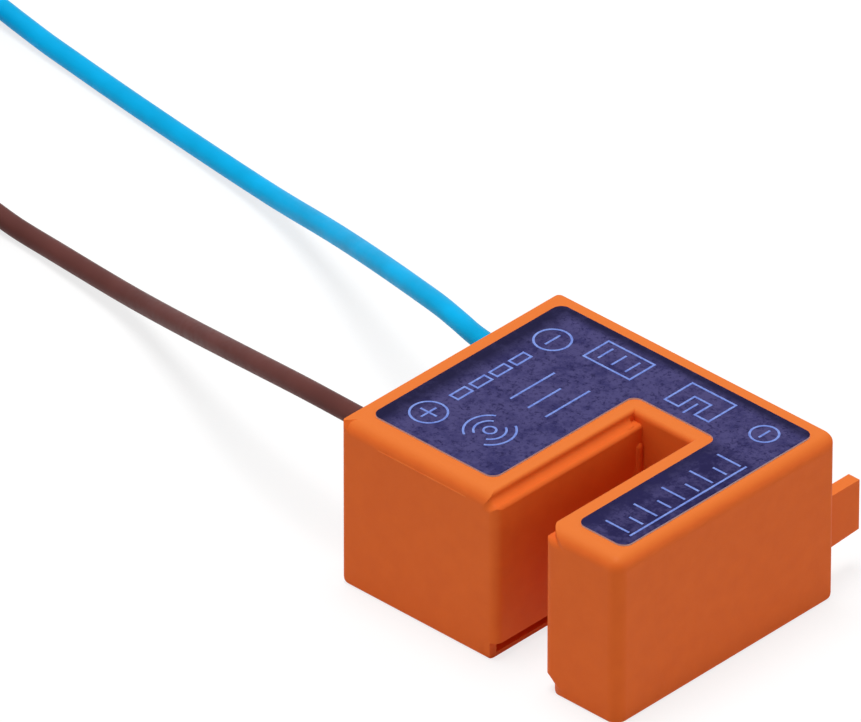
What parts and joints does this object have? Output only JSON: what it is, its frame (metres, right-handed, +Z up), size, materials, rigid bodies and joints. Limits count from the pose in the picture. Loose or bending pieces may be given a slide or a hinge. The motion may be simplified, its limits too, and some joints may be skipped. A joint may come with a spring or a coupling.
{
  "type": "fork sensor",
  "caption": "Inductive fork sensor in a moulded housing: a slot between a wide and a narrow arm senses a metal flag, a film covers the top, a tab locates the back and wires leave the side.",
  "frame": {"origin": "centre of the housing's base, the locating tab left out", "axes": "+X across the arms from the wire side to the narrow arm, +Y from the slot's mouth to the back face with the tab, +Z up"},
  "size_m": [0.0984, 0.0362, 0.0106],
  "materials": {
    "housing_plastic": "satin moulded",
    "film": "satin printed film",
    "resin": "cast, slightly glossy",
    "board": "solder mask",
    "moulded_part": "moulded",
    "resistor": "glazed",
    "capacitor": "fired",
    "ferrite": "ground",
    "bobbin": "moulded",
    "copper": "enamelled wire",
    "tin": "tinned",
    "blue_insulation": "smooth",
    "brown_insulation": "smooth",
    "tie": "smooth"
  },
  "bodies": {
    "root": {"housing": "housing_plastic", "label_film": "film", "potting_resin": "resin", "circuit_board": "board", "oscillator_chip": "moulded_part", "driver_transistor": "moulded_part", "protection_diode": "moulded_part", "chip_resistors": "resistor", "chip_capacitors": "capacitor", "wide_core": "ferrite", "narrow_core": "ferrite", "wide_bobbin": "bobbin", "narrow_bobbin": "bobbin", "wide_winding": "copper", "narrow_winding": "copper", "wide_coil_leads": "copper", "narrow_coil_leads": "copper", "solder_joints": "tin", "blue_sleeve": "blue_insulation", "brown_sleeve": "brown_insulation", "blue_conductor": "tin", "brown_conductor": "tin", "blue_wire": "blue_insulation", "brown_wire": "brown_insulation", "blue_wire_coil": "blue_insulation", "brown_wire_coil": "brown_insulation", "blue_tie": "tie", "brown_tie": "tie", "blue_tip": "tin", "brown_tip": "tin"}
  },
  "joints": []
}
